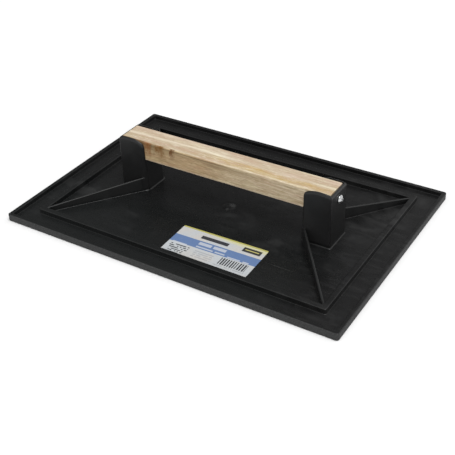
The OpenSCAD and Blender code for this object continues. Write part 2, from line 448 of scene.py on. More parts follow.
# ------------------------------------------------------- wooden bar
def wooden_bar():
    """Planed bar: rounded long edges, tiny chamfers at the sawn ends and
    a slight unevenness along its faces, bored at each end."""
    x0, x1 = GRIP_LOW[0], GRIP_HIGH[0]
    half_height = (BAR_TOP - BAR_BOTTOM) / 2
    middle_z = (BAR_TOP + BAR_BOTTOM) / 2
    edge_radius = 1.15
    even_end = 33                               # length at each end that stays true
    steps = 64
    # x, chamfer inset
    stations = [(x0, 0.55), (x0 + 0.18, 0.18), (x0 + 0.5, 0.0)]
    stations += [(x0 + 4 + (x1 - x0 - 8) * i / steps, 0.0) for i in range(steps + 1)]
    stations += [(x1 - 0.5, 0.0), (x1 - 0.18, 0.18), (x1, 0.55)]
    loops = []
    for x, inset in stations:
        uneven = 0.0 if min(x - x0, x1 - x) < even_end else 1.0
        loop = []
        for y, z, side_y, side_z in rounded_outline(BAR_Y, half_height, edge_radius):
            wave = uneven * (0.08 * math.sin(x * 0.043 + side_y * 1.7 + side_z)
                             + 0.04 * math.sin(x * 0.19 + side_z * 2.1 + side_y))
            y -= math.copysign(inset + max(0.0, 0.05 * uneven + wave), y)
            z -= math.copysign(inset + max(0.0, 0.04 * uneven - wave), z)
            loop.append((x, y, middle_z + z))
        loops.append(loop)
    obj = loft("handle_bar_wood", loops)
    for side, x in ((1, x0), (-1, x1)):
        bore = lathe("bore", [(0, -3), (SCREW_HOLE_R, -3), (SCREW_HOLE_R, 36),
                              (0.4, 37.8), (0, 37.8)], 32)
        place_on_screw_axis(bore, x, side)
        boolean(obj, [bore], "DIFFERENCE")
    finish_shading(obj, 40)
    return obj


wood = wooden_bar()
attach(wood, "float")
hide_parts("handle_grip")


# ------------------------------------------------------- screws
SHANK_R = 2.1                                   # plain neck under the head


def screw_head():
    """Domed head above z = 0 on a short neck, with a cross recess."""
    edge_round = 0.35
    dome_z = HEAD_HEIGHT - HEAD_DOME_R
    dome_edge = math.asin((HEAD_R - 0.22) / HEAD_DOME_R)
    rim_z = dome_z + HEAD_DOME_R * math.cos(dome_edge)
    profile = [(0, -1.0), (SHANK_R, -1.0), (SHANK_R, 0.0), (HEAD_R - 0.5, 0.0)]
    profile += [(HEAD_R - edge_round + edge_round * math.sin(a),
                 edge_round - edge_round * math.cos(a)) for a in quarter_turn(4)]
    profile += [(HEAD_R, rim_z - 0.12), (HEAD_R - 0.05, rim_z - 0.04)]
    for i in range(10):
        angle = dome_edge * (1 - i / 10)
        profile.append((HEAD_DOME_R * math.sin(angle), dome_z + HEAD_DOME_R * math.cos(angle)))
    head = lathe("head", profile + [(0, HEAD_HEIGHT)], 56)

    def cross(arm, half_width, z):
        ring = []
        for c, s in ((1, 0), (0, 1), (-1, 0), (0, -1)):
            corners = ((arm, -half_width), (arm, half_width), (half_width, half_width))
            ring += [(x * c - y * s, x * s + y * c, z) for x, y in corners]
        return ring

    slots = loft("cross", [cross(1.3, 0.38, HEAD_HEIGHT - 1.7), cross(3.0, 0.72, HEAD_HEIGHT + 0.6)])
    core = lathe("core", [(0, HEAD_HEIGHT - 2.1), (0.4, HEAD_HEIGHT - 1.9),
                          (1.4, HEAD_HEIGHT + 0.2), (1.7, HEAD_HEIGHT + 0.8),
                          (0, HEAD_HEIGHT + 0.8)], 24)
    boolean(head, [slots, core], "DIFFERENCE")
    return head


def screw_shank():
    """Shank and thread in one skin, the radius following a helix, from
    inside the neck down to a gimlet point."""
    root, crest, tip_radius = 1.53, 2.22, 0.06
    pitch, segments = 2.0, 40
    point_length = 6.5
    thread_start, thread_fade = 4.5, 1.8        # depth and run-in of the thread
    loops = []
    z = -0.5
    while z > -SCREW_LENGTH + 0.2:
        loop = []
        taper = min(1.0, max(0.0, (SCREW_LENGTH + z) / point_length))
        threaded = min(1.0, max(0.0, (-z - thread_start) / thread_fade))
        base = root * (0.16 + 0.84 * taper ** 0.8)
        for i in range(segments):
            angle = 2 * math.pi * i / segments
            phase = ((-z / pitch) - i / segments) % 1.0
            tooth = max(0.0, 1 - abs(phase - 0.5) / 0.34)
            tooth = min(1.0, tooth * 1.25)
            r = base + (crest - root) * tooth * threaded * min(1.0, taper * 1.6 + 0.12)
            r = r + (SHANK_R - r) * (1 - threaded)
            loop.append((r * math.cos(angle), r * math.sin(angle), z))
        loops.append(loop)
        z -= pitch / 12
    angles = [2 * math.pi * i / segments for i in range(segments)]
    loops.append([(tip_radius * math.cos(a), tip_radius * math.sin(a), -SCREW_LENGTH)
                  for a in angles])
    return loft("shank", loops)


def wood_screw(name, turn):
    """Screw along Z with its head's seat at z = 0, turned by some degrees."""
    obj = screw_head()
    boolean(obj, [screw_shank()], "UNION")
    obj.name = name
    obj.data.name = name
    finish_shading(obj, 38)
    obj.data.transform(Matrix.Rotation(math.radians(turn), 4, "Z"))
    return obj


screws = []
for side, tag, turn in ((1, "right", 28), (-1, "left", 63)):
    screw = wood_screw("wood_screw_" + tag, turn)
    place_on_screw_axis(screw, side * POST_OUT, side)
    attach(screw, "screw_" + tag)
    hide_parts("handle_screw_" + tag)
    screws.append(screw)

# ------------------------------------------------------- label
LABEL_TURN = math.radians(1.4)
LABEL_X = (LABEL_LOW[0] + LABEL_HIGH[0]) / 2
LABEL_Y = (LABEL_LOW[1] + LABEL_HIGH[1]) / 2
LABEL_LENGTH, LABEL_WIDTH = 102.0, 51.0
LABEL_CORNER = 1.2
PAPER_THICKNESS = 0.12


def round_label_corner(x, y, half_x, half_y):
    """Pull a grid point inside the rounded corners."""
    for side_x in (-1, 1):
        for side_y in (-1, 1):
            cx, cy = side_x * (half_x - LABEL_CORNER), side_y * (half_y - LABEL_CORNER)
            if (x - cx) * side_x > 0 and (y - cy) * side_y > 0:
                reach = max(abs(x - cx), abs(y - cy))
                distance = math.hypot(x - cx, y - cy)
                x, y = cx + (x - cx) * reach / distance, cy + (y - cy) * reach / distance
    return x, y


def label():
    """Thin paper sheet, rounded corners, stuck flat but for a little lift
    along its edge and at its front right corner."""
    nx, ny = 68, 34                             # grid cells
    half_x, half_y = LABEL_LENGTH / 2, LABEL_WIDTH / 2
    top, bottom = [], []
    for j in range(ny + 1):
        for i in range(nx + 1):
            x, y = round_label_corner(-half_x + 2 * half_x * i / nx,
                                      -half_y + 2 * half_y * j / ny, half_x, half_y)
            edge = min(half_x - abs(x), half_y - abs(y))
            corner = math.hypot(x - half_x, y + half_y)
            lift = 0.02 + 0.05 * math.exp(-edge / 0.8)
            lift += 0.5 * max(0.0, 1 - corner / 9.0) ** 2
            lift += (0.03 * (0.5 + 0.5 * math.sin(x * 0.21 + y * 0.13))
                     * (0.5 + 0.5 * math.sin(y * 0.35 - x * 0.07)))
            top.append((x, y, lift + PAPER_THICKNESS))
            bottom.append((x, y, lift))
    row, sheet = nx + 1, len(top)
    faces = []
    for j in range(ny):
        for i in range(nx):
            a = j * row + i
            b = sheet + a
            faces.append((a, a + 1, a + row + 1, a + row))
            faces.append((b, b + row, b + row + 1, b + 1))
    rim = list(range(nx)) + [nx + j * row for j in range(ny)]
    rim += [ny * row + i for i in range(nx, 0, -1)] + [j * row for j in range(ny, 0, -1)]
    for k, a in enumerate(rim):
        b = rim[(k + 1) % len(rim)]
        faces.append((b, a, sheet + a, sheet + b))
    c, s = math.cos(LABEL_TURN), math.sin(LABEL_TURN)
    flat = top + bottom
    obj = solid("label_paper", [(LABEL_X + x * c - y * s, LABEL_Y + x * s + y * c, WEB_TOP + z)
                                for x, y, z in flat], faces)
    # flat coordinates for the print, in millimetres from the label's middle
    uv = obj.data.uv_layers.new(name="print")
    for loop in obj.data.loops:
        uv.data[loop.index].uv = flat[loop.vertex_index][:2]
    finish_shading(obj, 50)
    return obj


paper = label()
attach(paper, "float")
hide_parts("label")


# ------------------------------------------------------- shader helpers
class Signal:
    """Output of a shader node; arithmetic on it adds Math nodes."""

    def __init__(self, graph, socket):
        self.graph, self.socket = graph, socket

    def __add__(self, other):
        return self.graph.math("ADD", self, other)

    def __radd__(self, other):
        return self.graph.math("ADD", other, self)

    def __sub__(self, other):
        return self.graph.math("SUBTRACT", self, other)

    def __rsub__(self, other):
        return self.graph.math("SUBTRACT", other, self)

    def __mul__(self, other):
        return self.graph.math("MULTIPLY", self, other)

    def __abs__(self):
        return self.graph.math("ABSOLUTE", self)

    def sqrt(self):
        return self.graph.math("SQRT", self)

    def floor(self):
        return self.graph.math("FLOOR", self)

    def fract(self):
        return self.graph.math("FRACT", self)

    def step(self, start, end):
        """Smooth change from 0 at start to 1 at end; start may be the higher."""
        return self.graph.value("MapRange", {"Value": self, "From Min": start, "From Max": end},
                                interpolation_type="SMOOTHSTEP")

    def fall(self, start, end):
        """Smooth change from 1 at start to 0 at end."""
        return 1.0 - self.step(start, end)

    def step_mm(self, start, end):
        return self.step(start * MM, end * MM)

    def fall_mm(self, start, end):
        return self.fall(start * MM, end * MM)


class Graph:
    """Node tree of a material or a world, built in code."""

    def __init__(self, owner, output):
        owner.use_nodes = True
        self.owner, self.tree = owner, owner.node_tree
        self.tree.nodes.clear()
        self.output = self.add(output)

    def add(self, kind, inputs=None, **settings):
        node = self.tree.nodes.new("ShaderNode" + kind)
        for name, setting in settings.items():
            setattr(node, name, setting)
        for key, value in (inputs or {}).items():
            self.put(node.inputs[key], value)
        return node

    def put(self, socket, value):
        if isinstance(value, Signal):
            self.tree.links.new(value.socket, socket)
        elif socket.type == "RGBA":
            socket.default_value = (*value, 1)
        else:
            socket.default_value = value

    def value(self, kind, inputs=None, output=0, **settings):
        """Add a node and return one of its outputs."""
        return Signal(self, self.add(kind, inputs, **settings).outputs[output])

    def split(self, vector):
        return [Signal(self, s) for s in self.add("SeparateXYZ", {"Vector": vector}).outputs]

    def math(self, operation, a, b=0.0):
        return self.value("Math", {0: a, 1: b, 2: 0.0}, operation=operation)

    def maximum(self, a, b):
        return self.math("MAXIMUM", a, b)

    def paint(self, base, amount, colour, mode="MIX"):
        """Lay a colour over the base by an amount from 0 to 1."""
        return self.value("Mix", {0: amount, 6: base, 7: colour}, 2,
                          data_type="RGBA", blend_type=mode)

    def paint_patterns(self, base, rows):
        """Paint each row: pattern, its two step edges, strength, colour."""
        for pattern, start, end, strength, colour in rows:
            base = self.paint(base, pattern.step(start, end) * strength, colour)
        return base

    def ramp(self, factor, stops):
        """Colour ramp through (position, colour) stops."""
        node = self.add("ValToRGB", {"Fac": factor})
        elements = node.color_ramp.elements
        while len(elements) > 1:
            elements.remove(elements[-1])
        for i, (position, colour) in enumerate(stops):
            element = elements[0] if i == 0 else elements.new(position)
            element.position = position
            element.color = (*colour, 1)
        return Signal(self, node.outputs["Color"])

    def mapped(self, vector, scale, turn=0):
        """Vector turned about Z by some degrees and scaled."""
        rotation = (0, 0, math.radians(turn))
        return self.value("Mapping", {"Vector": vector, "Rotation": rotation, "Scale": scale})

    def coords(self, scale=(1, 1, 1), turn=0):
        """Object coordinates, in metres, through a mapping."""
        return self.mapped(self.value("TexCoord", output="Object"), scale, turn)

    def noise(self, vector, scale, detail, rough, distort, seed):
        return self.value("TexNoise", {"Vector": vector, "W": seed, "Scale": scale,
                                       "Detail": detail, "Roughness": rough,
                                       "Distortion": distort}, "Fac", noise_dimensions="4D")

    def bump(self, height, strength, distance, normal=None):
        inputs = {"Height": height, "Strength": strength, "Distance": distance}
        if normal is not None:
            inputs["Normal"] = normal
        return self.value("Bump", inputs)

    def finish(self, kind, inputs):
        """Feed a shader of this kind to the output and return the owner."""
        self.put(self.output.inputs["Surface"], self.value(kind, inputs))
        return self.owner


def material_graph(name):
    return Graph(bpy.data.materials.new(name), "OutputMaterial")


# ------------------------------------------------------- black plastic
# scale, detail, roughness, distortion, seed
PLASTIC_NOISE = {
    "cloud": (11.0, 6, 0.62, 0.7, 1.3),
    "small cloud": (34.0, 5, 0.6, 0.4, 4.7),
    "mottle": (150, 4, 0.65, 0.2, 6.1),
    "scuffed areas": (14, 2, 0.5, 0, 6.0),
    "speck": (560, 1, 0.5, 0, 3.0),
    "swirl": (26, 5, 0.66, 1.6, 3.9),
    "edge_mottle": (900, 4, 0.7, 0.3, 17.0),
    "grain": (1500, 2, 0.6, 0, 0.7),
    "wave": (24, 2, 0.5, 0, 5.5),
}


def plastic():
    """Black injection-moulded plastic: satin, fine mould texture, cloudy
    smears of dust and release agent, thin scuffs, and painted light and
    shade on the outer edges, the front of the plate, the posts' walls,
    the ribs and the boss."""
    graph = material_graph("black_moulded_plastic")
    paint = graph.paint
    place = graph.coords()

    def pattern(name, vector=place):
        return graph.noise(vector, *PLASTIC_NOISE[name])

    def scratches(turn, seed):
        """Long thin noise, turned by some degrees."""
        lines = graph.noise(graph.coords((9, 520, 30), turn), scale=1.0, detail=2, rough=0.5,
                            distort=0.25, seed=seed)
        return lines.step(0.71, 0.76)

    cloud = pattern("cloud")
    small_cloud = pattern("small cloud", graph.coords((1.0, 2.0, 1.0)))
    smear = cloud.step(0.47, 0.70) * small_cloud.step(0.42, 0.68)
    mottle = pattern("mottle")
    scuff = graph.maximum(scratches(turn=17, seed=2.0), scratches(turn=-52, seed=8.0))
    scuff = scuff * pattern("scuffed areas").step(0.48, 0.60)
    speck = pattern("speck").step(0.78, 0.83)
    base = paint((0.0040, 0.0041, 0.0043), amount=mottle, colour=(0.0076, 0.0076, 0.0078))
    # cloudier and lighter towards the right end
    cloudier_to_right = graph.split(place)[0].step_mm(60, 150) * 0.9
    swirl = pattern("swirl", graph.mapped(place, (1.0, 3.4, 1.0), turn=24)).step(0.46, 0.74)
    base = paint(base, amount=smear * 0.85, colour=(0.0215, 0.0217, 0.0215))
    base = paint(base, amount=swirl * (0.10 + cloudier_to_right * 0.36), colour=(0.0300, 0.0302, 0.0300))
    base = paint(base, amount=scuff * (0.40 + cloudier_to_right * 0.35), colour=(0.070, 0.070, 0.070))
    base = paint(base, amount=speck * 0.11, colour=(0.10, 0.10, 0.095))
    rough = 0.24 + smear * 0.16
    rough = rough + mottle * 0.07
    rough = rough + scuff * 0.12
    x, y, z = graph.split(place)
    from_x, from_y = abs(x), abs(y)             # distances from the middle
    # painted light: the front of the plate lightened a little, ending short of the right end
    painted_front_light = y.fall_mm(-85, 35) * x.fall_mm(100, 160)
    base = paint(base, amount=painted_front_light, colour=(0.0018, 0.0026, 0.0025), mode="ADD")
    # painted shade and light on the posts' walls, which are also rougher than the plate:
    # darkest on the outer faces, lighter grey towards the foot, more on the right post
    wall = from_x.step_mm(94.5, 96.0) * from_x.fall_mm(134, 136)
    wall = wall * (from_y.fall_mm(18.5, 20.0) * z.step_mm(4.5, 8.0))
    outer = from_x.step_mm(131.6, 132.0)
    low = z.fall_mm(8, 44) * (1.0 - outer)
    low = low * (0.22 + x.step_mm(-50, 50) * 0.78)
    wall_colour = paint((0.0052, 0.0052, 0.0055), amount=outer, colour=(0.0024, 0.0024, 0.0026))
    wall_colour = paint(wall_colour, amount=low, colour=(0.0260, 0.0257, 0.0260))
    base = paint(base, amount=wall * 0.65, colour=wall_colour)
    rough = rough + wall * 0.10
    # painted light: everything raised above the web between posts and frame,
    # as the ribs, is lightened and made rougher
    ribs = z.step_mm(4.6, 6.4) * (from_y.step_mm(20.0, 21.5) * from_y.fall_mm(103, 105))
    ribs = ribs * from_x.fall_mm(165.5, 167.5)
    base = paint(base, amount=ribs * 0.75, colour=(0.0130, 0.0134, 0.0134))
    rough = rough + ribs * 0.10

    def spot(centre_x, centre_y, inner, outer):
        dx, dy = x - centre_x * MM, y - centre_y * MM
        return (dx * dx + dy * dy).sqrt().fall_mm(inner, outer)

    # painted highlight: two light spots on the boss in the middle, where its dome catches the light
    boss_highlight = graph.maximum(spot(centre_x=2.6, centre_y=4.0, inner=1.0, outer=5.2),
                         spot(centre_x=1.4, centre_y=-5.6, inner=0.5, outer=2.6) * 0.8)
    base = paint(base, amount=boss_highlight * (0.45 + mottle.step(0.35, 0.65) * 0.40),
                 colour=(0.088, 0.089, 0.089))
    # painted reflection: the plate's outer edge is a mottled grey in place of the
    # pale floor mirrored in its walls, with less specular, darker at the right
    edge = graph.maximum(from_x.step_mm(199.0, 199.7), from_y.step_mm(137.0, 137.7))
    edge_mottle = pattern("edge_mottle")
    grey = paint((0.026, 0.0265, 0.0265), amount=edge_mottle.step(0.30, 0.72),
                 colour=(0.074, 0.075, 0.075))
    grey = paint(grey, amount=x.step_mm(199.0, 199.7) * 0.35, colour=(0.012, 0.012, 0.012))
    base = paint(base, amount=edge, colour=grey)
    specular = 0.5 - edge * 0.455
    rough = rough + edge * 0.15
    grain, wave = pattern("grain"), pattern("wave")
    normal = graph.bump(grain, strength=0.035, distance=0.00025)
    normal = graph.bump(wave, strength=0.30, distance=0.0012, normal=normal)
    normal = graph.bump(scuff, strength=0.15, distance=0.0002, normal=normal)
    return graph.finish("BsdfPrincipled", {"Base Color": base, "Roughness": rough,
                                           "Normal": normal, "IOR": 1.46,
                                           "Specular IOR Level": specular})


# ------------------------------------------------------- pale wood
# scale along the bar, scale across it, detail, roughness, distortion, seed
GRAIN_NOISE = {
    "ring warp": (5, 26, 3, 0.5, 0.2, 2.2),
    "tone": (7, 80, 4, 0.6, 0.4, 7.7),
    "blush": (22, 95, 3, 0.55, 0.5, 12.4),
    "streak": (11, 330, 4, 0.62, 0.3, 5.1),
    "fibre": (34, 900, 4, 0.65, 0.2, 3.3),
    "fine": (120, 2400, 2, 0.5, 0, 1.1),
    "fleck": (150, 640, 3, 0.6, 0.3, 9.9),
    "band edge": (9, 40, 3, 0.5, 0, 15.0),
    "gold": (38, 190, 4, 0.68, 0.4, 52.0),
    "mottle": (26, 300, 4, 0.72, 0.35, 31.0),
    "small mottle": (75, 620, 4, 0.75, 0.3, 37.0),
    "light fleck": (110, 760, 3, 0.7, 0.2, 44.0),
    "cream edge": (6, 30, 3, 0.5, 0, 41.0),
    "weathered": (44, 620, 4, 0.74, 0.3, 61.0),
}
# Stains on the front by the left post: start and end in x, softness of
# those edges, height where they fade out (mm), strength, colour
STAINS = [
    (-99.0, -90.0, 2.6, 42, 0.95, (0.235, 0.082, 0.014)),
    (-91.0, -83.0, 2.4, 47, 0.62, (0.190, 0.145, 0.070)),
    (-84.0, -73.0, 2.6, 45, 0.95, (0.205, 0.088, 0.014)),
    (-64.8, -59.0, 1.8, 48, 0.95, (0.150, 0.058, 0.014)),
]
# Painted shade on the front face along x, darker and warmer to the left:
# ramp position, colour
FRONT_SHADE_RAMP = [
    (0.05, (1.0, 0.885, 0.690)), (0.37, (1.0, 0.890, 0.700)),
    (0.62, (1.0, 0.960, 0.860)), (0.95, (1.0, 0.975, 0.900)),
]


def timber():
    """Pale planed softwood: cream ground with pinkish and yellow streaks
    along the bar, growth lines that show as near-parallel bands on the
    front, short flecks, and brown stains at the left end of the front."""
    graph = material_graph("pale_planed_wood")
    paint = graph.paint
    place = graph.value("TexCoord", output="Object")
    x, y, z = graph.split(place)

    def grain(name):
        along, across, *rest = GRAIN_NOISE[name]
        return graph.noise(graph.mapped(place, (along, across, across)), 1.0, *rest)

    # growth rings about an axis below the bar, tipped a little along it
    warp = grain("ring warp")
    ring_y = y + 0.006
    ring_z = z + 0.022 + x * 0.022
    radius = (ring_y * ring_y + ring_z * ring_z).sqrt()
    radius = radius + warp * 0.0075
    rings = (radius * 235.0).fract()            # rings per metre
    late = rings.step(0.25, 0.82) * rings.fall(0.84, 0.99)
    tone, blush, streak = grain("tone"), grain("blush"), grain("streak")
    fibre, fine, fleck = grain("fibre"), grain("fine"), grain("fleck")
    base = paint((0.560, 0.445, 0.305), amount=tone.step(0.30, 0.70),
                 colour=(0.690, 0.580, 0.435))
    base = paint(base, amount=blush.step(0.50, 0.74) * 0.55, colour=(0.700, 0.545, 0.445))
    # yellow band along the front of the top, stronger to the right
    band = y + (grain("band edge") - 0.5) * 0.012
    band = band.step_mm(-13.5, -9.0) * band.fall_mm(-5.0, -0.5)
    band = band * (x.step_mm(-95, 85) * z.step_mm(60, 64))
    band = band * (0.55 + tone.step(0.62, 0.42) * 0.45)
    base = paint(base, amount=band * 0.95, colour=(0.575, 0.410, 0.185))
    # golden patches in it towards the right end
    gold = grain("gold")
    gold = gold.step(0.46, 0.60) * (x.step_mm(-60, 45) * z.step_mm(60, 64))
    gold = gold * (y.step_mm(-14.2, -11.6) * y.fall_mm(-5.5, 0.5))
    base = paint(base, amount=gold * 0.62, colour=(0.560, 0.365, 0.105))
    base = paint(base, amount=late * 0.26, colour=(0.430, 0.300, 0.165))
    # fibres, then pink, cream and greenish mottling some millimetres across
    mottle, small_mottle = grain("mottle"), grain("small mottle")
    base = graph.paint_patterns(base, [
        (streak, 0.50, 0.72, 0.46, (0.430, 0.300, 0.165)),
        (fibre, 0.55, 0.78, 0.42, (0.380, 0.270, 0.160)),
        (fibre, 0.46, 0.24, 0.40, (0.800, 0.720, 0.600)),
        (fine, 0.60, 0.80, 0.22, (0.300, 0.215, 0.130)),
        (mottle, 0.50, 0.64, 0.62, (0.560, 0.375, 0.270)),
        (mottle, 0.49, 0.35, 0.60, (0.850, 0.770, 0.545)),
        (small_mottle, 0.52, 0.66, 0.50, (0.390, 0.295, 0.145)),
        (small_mottle, 0.47, 0.33, 0.50, (0.960, 0.890, 0.760)),
    ])
    # short pores and flecks along the grain, darker on the front
    pore = 0.34 + y.fall_mm(-14.45, -13.6) * 0.16
    base = paint(base, amount=fleck.step(0.56, 0.68) * pore, colour=(0.290, 0.195, 0.105))
    base = paint(base, amount=grain("light fleck").step(0.56, 0.70) * 0.40,
                 colour=(0.900, 0.840, 0.720))
    # a long cream streak along the middle of the top, pinker wood behind it
    wavy_y = y + (grain("cream edge") - 0.5) * 0.010
    wavy_y = wavy_y + -0.0010
    cream = wavy_y.step_mm(-3.6, -1.2) * wavy_y.fall_mm(0.6, 3.2)
    cream = cream * (1.0 - x.step_mm(-10, 60) * 0.55)
    base = paint(base, amount=cream * (0.10 + streak.step(0.60, 0.40) * 0.38),
                 colour=(0.940, 0.860, 0.700))
    pink = wavy_y.step_mm(1.5, 6.0) * blush.step(0.36, 0.62)
    base = paint(base, amount=pink * 0.24, colour=(0.620, 0.450, 0.360))
    # front face: greyer, more so to the left; the even grey is the wood's own,
    # the increase to the left is painted shade
    front = y.fall_mm(-14.45, -13.6)
    front_grey_and_shade = front * (0.14 + x.fall_mm(-110, 70) * 0.17)
    base = paint(base, amount=front_grey_and_shade, colour=(0.290, 0.235, 0.165))
    # weathered fibres of the front, dark and pale side by side
    weathered = grain("weathered")
    base = paint(base, amount=weathered.step(0.50, 0.63) * front * 0.42,
                 colour=(0.235, 0.175, 0.110))
    base = paint(base, amount=weathered.step(0.48, 0.36) * front * 0.48,
                 colour=(0.840, 0.770, 0.620))
    # painted shade: the front tinted darker and warmer towards the left, and
    # the top darkened a little
    along = graph.value("MapRange", {"Value": x, "From Min": -0.1, "From Max": 0.1})
    tinted = paint(base, amount=1.0, colour=graph.ramp(along, FRONT_SHADE_RAMP), mode="MULTIPLY")
    base = paint(base, amount=front, colour=tinted)
    top = z.step_mm(64.0, 64.6) * (1.0 - front)
    darker = paint(base, amount=1.0, colour=(0.875, 0.875, 0.865), mode="MULTIPLY")
    base = paint(base, amount=top, colour=darker)
    # darker band under the front's top edge, at the left
    upper = z.step_mm(55.5, 59.5) * x.fall_mm(-20, 75) * front
    base = paint(base, amount=upper * (0.15 + streak.step(0.35, 0.65) * 0.50),
                 colour=(0.225, 0.140, 0.065))
    # a dark line close under the top edge, and a dark brown strip on the top
    # where the left cheek meets it
    line = z.step_mm(61.6, 62.6) * z.fall_mm(63.2, 64.0) * front
    line = line * x.fall_mm(-30, 40)
    base = paint(base, amount=line * (0.30 + fleck.step(0.40, 0.62) * 0.40),
                 colour=(0.170, 0.100, 0.045))
    seam = x.fall_mm(-101, -97) * y.fall_mm(-13.4, -12.0)
    base = paint(base, amount=seam * 0.85, colour=(0.150, 0.075, 0.025))
    # brown stains with ragged edges, running down near the left post
    ragged = graph.noise(graph.mapped(place, (150, 110, 95)), scale=1.0, detail=5, rough=0.7,
                         distort=0.9, seed=21.0)
    ragged = (ragged - 0.5) * 0.022
    soak = graph.noise(graph.mapped(place, (420, 120, 130)), scale=1.0, detail=4, rough=0.65,
                       distort=0.4, seed=23.0).step(0.30, 0.62)
    ragged_x = x + ragged
    for x0, x1, soft, z_low, strength, colour in STAINS:
        stain = ragged_x.step_mm(x0 - soft, x0 + soft) * ragged_x.fall_mm(x1 - soft, x1 + soft)
        stain = stain * ((z + ragged).step_mm(z_low, z_low + 16) * y.fall_mm(-13.9, -12.4))
        base = paint(base, amount=stain * (0.45 + soak * 0.55) * strength, colour=colour)
    # worn, paler lower edge of the front
    lower_edge = z.fall_mm(42.6, 44.6) * y.fall_mm(-14.2, -13.0)
    base = paint(base, amount=lower_edge * 0.55, colour=(0.640, 0.540, 0.440))
    # seen in the black plastic the bar is only a faint grey shape
    mirrored_view = graph.value("LightPath", output="Is Glossy Ray")
    base = paint(base, amount=mirrored_view * 0.86, colour=(0.035, 0.035, 0.035))
    rough = 0.58 + fibre * 0.2
    normal = graph.bump(fine, strength=0.22, distance=0.0004)
    normal = graph.bump(fibre, strength=0.22, distance=0.0005, normal=normal)
    normal = graph.bump(late, strength=0.10, distance=0.0003, normal=normal)
    return graph.finish("BsdfPrincipled", {"Base Color": base, "Roughness": rough,
                                           "Normal": normal, "IOR": 1.40})


# ------------------------------------------------------- zinc
def zinc():
    """Bright plating with soft patches, and painted shade, rougher, in the recess of the head."""
    graph = material_graph("bright_zinc_plating")
    place = graph.coords()
    patch = graph.noise(place, scale=700, detail=3, rough=0.6, distort=0.3, seed=1.0)
    base = graph.paint((0.47, 0.48, 0.49), amount=patch.step(0.3, 0.7),
                       colour=(0.70, 0.705, 0.70))
    rough = 0.10 + patch * 0.16
    # depth below the domed top of the head
    x, y, z = graph.split(place)
    dy, dz = y - AXIS_Y * MM, z - AXIS_Z * MM
    radius_squared = dy * dy + dz * dz
    out = abs(x) - POST_OUT * MM
    dome = ((HEAD_DOME_R * MM) ** 2 - radius_squared).sqrt() + (HEAD_HEIGHT - HEAD_DOME_R) * MM
    recess_shade = (dome - out).step_mm(0.25, 1.1) * out.step_mm(0.4, 0.6)
    recess_shade = recess_shade * radius_squared.sqrt().fall_mm(3.0, 3.3)
    # painted shade: the recess of the head darkened
    base = graph.paint(base, amount=recess_shade * 0.85, colour=(0.060, 0.060, 0.064))
    rough = rough + recess_shade * 0.22
    fine = graph.noise(place, scale=4200, detail=2, rough=0.5, distort=0, seed=2.0)
    return graph.finish("BsdfPrincipled", {
        "Base Color": base, "Metallic": 1.0, "Roughness": rough,
        "Normal": graph.bump(fine, strength=0.15, distance=0.0001)})


# ------------------------------------------------------- label print
# Pale bars in and below the blue band: x0, x1, y0, y1 from the middle (mm)
PALE_BARS = [
    (-20, -5, 2.0, 6.6), (-2.5, 12.5, 2.0, 6.6), (-20, 0, -2.9, -0.9), (2.5, 14, -2.9, -0.9),
    (-47, -30, -6.2, -3.6), (18, 33, -4.2, -2.4), (36, 43, -4.2, -2.4),
]


